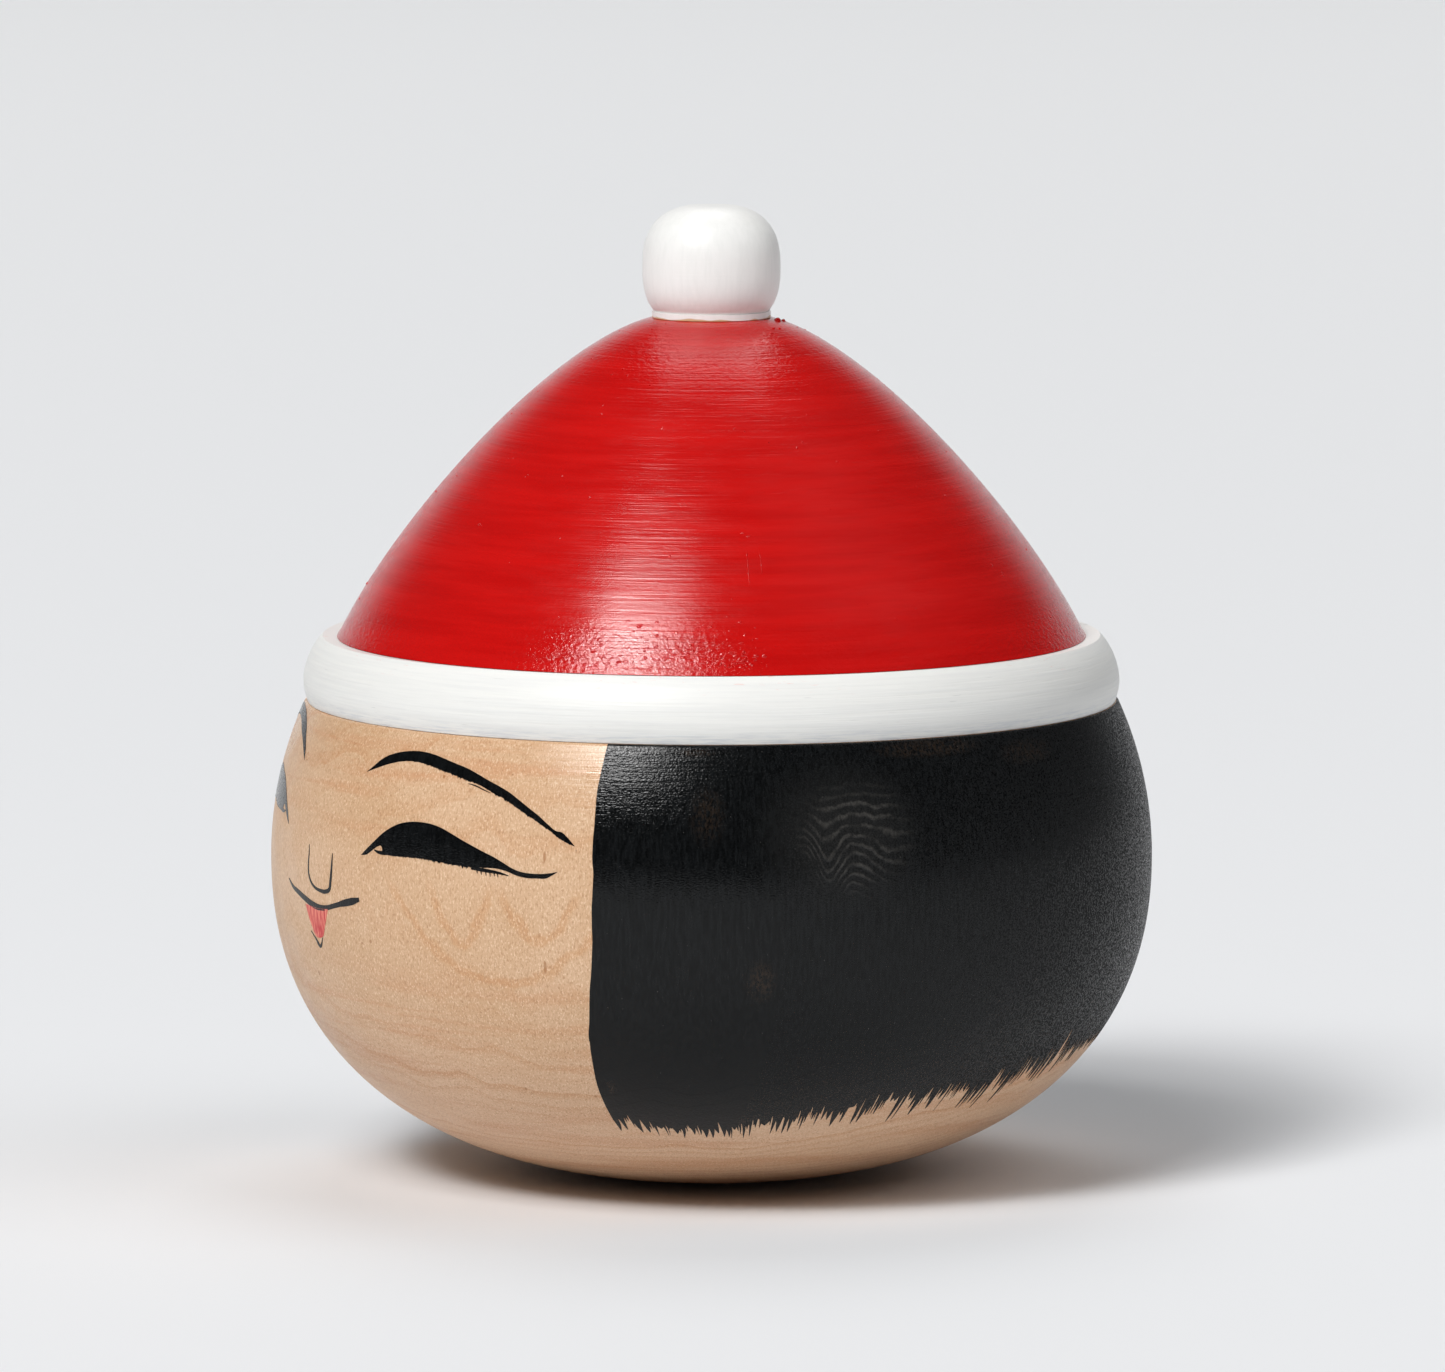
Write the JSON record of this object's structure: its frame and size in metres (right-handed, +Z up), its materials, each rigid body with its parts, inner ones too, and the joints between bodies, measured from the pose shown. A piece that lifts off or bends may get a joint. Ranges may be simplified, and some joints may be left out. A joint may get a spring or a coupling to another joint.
{
  "type": "daruma doll",
  "caption": "Round turned-wood daruma doll with a painted face and hair, hollow inside, and a domed red hat with a white band and bobble that lifts off its spigot.",
  "frame": {"origin": "centre of the flat foot, on the surface that the doll stands on", "axes": "+Z up along the turning axis, -Y towards the face, +X towards the doll's left"},
  "size_m": [0.0902, 0.0902, 0.0991],
  "materials": {
    "painted_head_wood": "pale close-grained wood under clear wax, face and hair painted in black, nose lips in thin red strokes",
    "bare_wood": "bare turned wood, unpolished",
    "red_enamelled_wood": "thick glossy red enamel with fine lathe-brushed lines",
    "white_painted_wood": "satin warm-white paint with fine brushed lines",
    "weight_steel": "sawn and faced mild steel bar"
  },
  "bodies": {
    "head": {"head_bowl": "painted_head_wood", "righting_weight": "weight_steel", "weight_plug": "bare_wood"},
    "hat": {"hat_crown": "red_enamelled_wood", "hat_band": "white_painted_wood", "pompom": "white_painted_wood"}
  },
  "joints": [
    {"name": "hat_lift", "type": "slide", "parent": "head", "child": "hat", "axis": [0, 0, 1], "range_m": [0, 0.06]}
  ]
}
